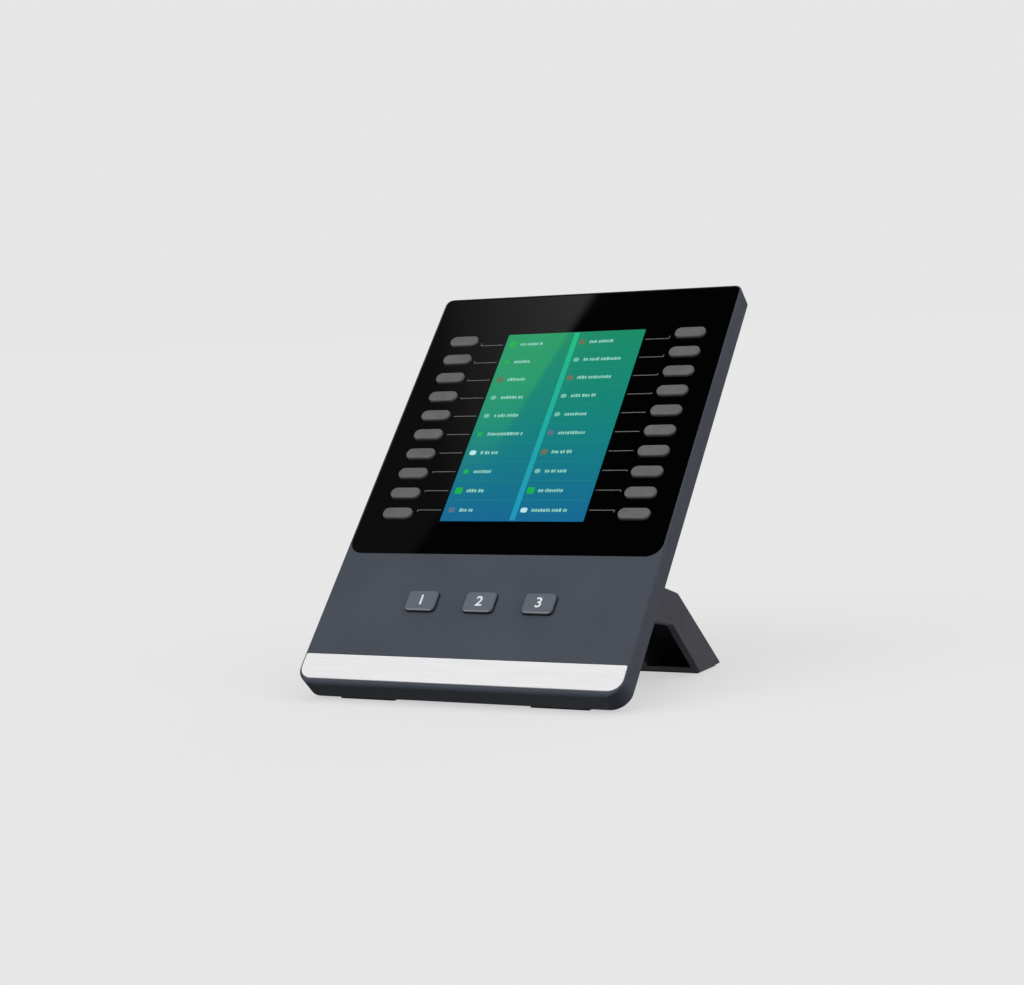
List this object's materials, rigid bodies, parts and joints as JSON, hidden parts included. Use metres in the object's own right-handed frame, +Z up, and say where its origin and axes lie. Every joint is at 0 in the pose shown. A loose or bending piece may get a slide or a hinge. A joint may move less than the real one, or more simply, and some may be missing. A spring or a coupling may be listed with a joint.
{
  "type": "phone key expansion module",
  "caption": "Colour-screen key expansion module for a desk phone: a glossy black and grey panel with sprung line keys, leaning on a clip-on stand.",
  "frame": {"origin": "bottom centre of the whole object, on the desk", "axes": "+Z up, +X to the user's right, -Y towards the user; the panel leans back 47 degrees from the desk"},
  "size_m": [0.128, 0.1322, 0.1419],
  "materials": {
    "housing_front": "fine texture, blue-grey",
    "housing_rear": "fine texture, dark grey",
    "front_glass": "black, high gloss",
    "gasket": "matt foam",
    "silver_strip": "fine brushed, bright",
    "screen": "lit colour screen",
    "backlight": "white",
    "sheet_steel": "plain sheet",
    "flex": "amber film",
    "connector_plastic": "moulded",
    "silicone": "translucent silicone",
    "lamp": "clear",
    "circuit_board": "green solder mask",
    "tinplate": "plain tinplate",
    "chip_plastic": "black",
    "socket_metal": "plated",
    "jack_plastic": "black",
    "label": "satin film",
    "screw_steel": "black zinc",
    "brass": "turned",
    "foot_rubber": "matt",
    "stand_plastic": "fine texture, dark grey",
    "line_key": "translucent smoke grey",
    "page_key": "satin, blue-grey"
  },
  "bodies": {
    "housing": {"front_housing": "housing_front", "rear_housing": "housing_rear", "front_glass": "front_glass", "glass_gasket": "gasket", "silver_strip": "silver_strip", "lcd_panel": "screen", "backlight_unit": "backlight", "lcd_bracket": "sheet_steel", "display_flex": "flex", "display_connector": "connector_plastic", "line_key_mat_left": "silicone", "line_key_mat_right": "silicone", "page_key_mat": "silicone", "key_lights": "lamp", "main_board": "circuit_board", "shield_can": "tinplate", "board_chips": "chip_plastic", "board_link": "connector_plastic", "port_board": "circuit_board", "link_port_in": "socket_metal", "link_port_out": "socket_metal", "power_jack": "jack_plastic", "label_plate": "label", "housing_screws": "screw_steel", "board_screws": "screw_steel", "bracket_inserts": "brass", "front_feet": "foot_rubber"},
    "stand": {"stand": "stand_plastic", "stand_grip": "foot_rubber"},
    "line_key_left_01_body": {"line_key_left_01": "line_key"},
    "line_key_left_02_body": {"line_key_left_02": "line_key"},
    "line_key_left_03_body": {"line_key_left_03": "line_key"},
    "line_key_left_04_body": {"line_key_left_04": "line_key"},
    "line_key_left_05_body": {"line_key_left_05": "line_key"},
    "line_key_left_06_body": {"line_key_left_06": "line_key"},
    "line_key_left_07_body": {"line_key_left_07": "line_key"},
    "line_key_left_08_body": {"line_key_left_08": "line_key"},
    "line_key_left_09_body": {"line_key_left_09": "line_key"},
    "line_key_left_10_body": {"line_key_left_10": "line_key"},
    "line_key_right_01_body": {"line_key_right_01": "line_key"},
    "line_key_right_02_body": {"line_key_right_02": "line_key"},
    "line_key_right_03_body": {"line_key_right_03": "line_key"},
    "line_key_right_04_body": {"line_key_right_04": "line_key"},
    "line_key_right_05_body": {"line_key_right_05": "line_key"},
    "line_key_right_06_body": {"line_key_right_06": "line_key"},
    "line_key_right_07_body": {"line_key_right_07": "line_key"},
    "line_key_right_08_body": {"line_key_right_08": "line_key"},
    "line_key_right_09_body": {"line_key_right_09": "line_key"},
    "line_key_right_10_body": {"line_key_right_10": "line_key"},
    "page_key_1_body": {"page_key_1": "page_key"},
    "page_key_2_body": {"page_key_2": "page_key"},
    "page_key_3_body": {"page_key_3": "page_key"}
  },
  "joints": [
    {"name": "line_key_left_01_press", "type": "slide", "parent": "housing", "child": "line_key_left_01_body", "axis": [0, 0.7314, -0.682], "range_m": [0, 0.0006], "stiffness_N_per_m": 900, "springref_m": -0.0003},
    {"name": "line_key_left_02_press", "type": "slide", "parent": "housing", "child": "line_key_left_02_body", "axis": [0, 0.7314, -0.682], "range_m": [0, 0.0006], "stiffness_N_per_m": 900, "springref_m": -0.0003},
    {"name": "line_key_left_03_press", "type": "slide", "parent": "housing", "child": "line_key_left_03_body", "axis": [0, 0.7314, -0.682], "range_m": [0, 0.0006], "stiffness_N_per_m": 900, "springref_m": -0.0003},
    {"name": "line_key_left_04_press", "type": "slide", "parent": "housing", "child": "line_key_left_04_body", "axis": [0, 0.7314, -0.682], "range_m": [0, 0.0006], "stiffness_N_per_m": 900, "springref_m": -0.0003},
    {"name": "line_key_left_05_press", "type": "slide", "parent": "housing", "child": "line_key_left_05_body", "axis": [0, 0.7314, -0.682], "range_m": [0, 0.0006], "stiffness_N_per_m": 900, "springref_m": -0.0003},
    {"name": "line_key_left_06_press", "type": "slide", "parent": "housing", "child": "line_key_left_06_body", "axis": [0, 0.7314, -0.682], "range_m": [0, 0.0006], "stiffness_N_per_m": 900, "springref_m": -0.0003},
    {"name": "line_key_left_07_press", "type": "slide", "parent": "housing", "child": "line_key_left_07_body", "axis": [0, 0.7314, -0.682], "range_m": [0, 0.0006], "stiffness_N_per_m": 900, "springref_m": -0.0003},
    {"name": "line_key_left_08_press", "type": "slide", "parent": "housing", "child": "line_key_left_08_body", "axis": [0, 0.7314, -0.682], "range_m": [0, 0.0006], "stiffness_N_per_m": 900, "springref_m": -0.0003},
    {"name": "line_key_left_09_press", "type": "slide", "parent": "housing", "child": "line_key_left_09_body", "axis": [0, 0.7314, -0.682], "range_m": [0, 0.0006], "stiffness_N_per_m": 900, "springref_m": -0.0003},
    {"name": "line_key_left_10_press", "type": "slide", "parent": "housing", "child": "line_key_left_10_body", "axis": [0, 0.7314, -0.682], "range_m": [0, 0.0006], "stiffness_N_per_m": 900, "springref_m": -0.0003},
    {"name": "line_key_right_01_press", "type": "slide", "parent": "housing", "child": "line_key_right_01_body", "axis": [0, 0.7314, -0.682], "range_m": [0, 0.0006], "stiffness_N_per_m": 900, "springref_m": -0.0003},
    {"name": "line_key_right_02_press", "type": "slide", "parent": "housing", "child": "line_key_right_02_body", "axis": [0, 0.7314, -0.682], "range_m": [0, 0.0006], "stiffness_N_per_m": 900, "springref_m": -0.0003},
    {"name": "line_key_right_03_press", "type": "slide", "parent": "housing", "child": "line_key_right_03_body", "axis": [0, 0.7314, -0.682], "range_m": [0, 0.0006], "stiffness_N_per_m": 900, "springref_m": -0.0003},
    {"name": "line_key_right_04_press", "type": "slide", "parent": "housing", "child": "line_key_right_04_body", "axis": [0, 0.7314, -0.682], "range_m": [0, 0.0006], "stiffness_N_per_m": 900, "springref_m": -0.0003},
    {"name": "line_key_right_05_press", "type": "slide", "parent": "housing", "child": "line_key_right_05_body", "axis": [0, 0.7314, -0.682], "range_m": [0, 0.0006], "stiffness_N_per_m": 900, "springref_m": -0.0003},
    {"name": "line_key_right_06_press", "type": "slide", "parent": "housing", "child": "line_key_right_06_body", "axis": [0, 0.7314, -0.682], "range_m": [0, 0.0006], "stiffness_N_per_m": 900, "springref_m": -0.0003},
    {"name": "line_key_right_07_press", "type": "slide", "parent": "housing", "child": "line_key_right_07_body", "axis": [0, 0.7314, -0.682], "range_m": [0, 0.0006], "stiffness_N_per_m": 900, "springref_m": -0.0003},
    {"name": "line_key_right_08_press", "type": "slide", "parent": "housing", "child": "line_key_right_08_body", "axis": [0, 0.7314, -0.682], "range_m": [0, 0.0006], "stiffness_N_per_m": 900, "springref_m": -0.0003},
    {"name": "line_key_right_09_press", "type": "slide", "parent": "housing", "child": "line_key_right_09_body", "axis": [0, 0.7314, -0.682], "range_m": [0, 0.0006], "stiffness_N_per_m": 900, "springref_m": -0.0003},
    {"name": "line_key_right_10_press", "type": "slide", "parent": "housing", "child": "line_key_right_10_body", "axis": [0, 0.7314, -0.682], "range_m": [0, 0.0006], "stiffness_N_per_m": 900, "springref_m": -0.0003},
    {"name": "page_key_1_press", "type": "slide", "parent": "housing", "child": "page_key_1_body", "axis": [0, 0.7314, -0.682], "range_m": [0, 0.0008], "stiffness_N_per_m": 800, "springref_m": -0.0003},
    {"name": "page_key_2_press", "type": "slide", "parent": "housing", "child": "page_key_2_body", "axis": [0, 0.7314, -0.682], "range_m": [0, 0.0008], "stiffness_N_per_m": 800, "springref_m": -0.0003},
    {"name": "page_key_3_press", "type": "slide", "parent": "housing", "child": "page_key_3_body", "axis": [0, 0.7314, -0.682], "range_m": [0, 0.0008], "stiffness_N_per_m": 800, "springref_m": -0.0003},
    {"name": "stand_release", "type": "slide", "parent": "housing", "child": "stand", "axis": [0, -0.682, -0.7314], "range_m": [0, 0.004]}
  ]
}
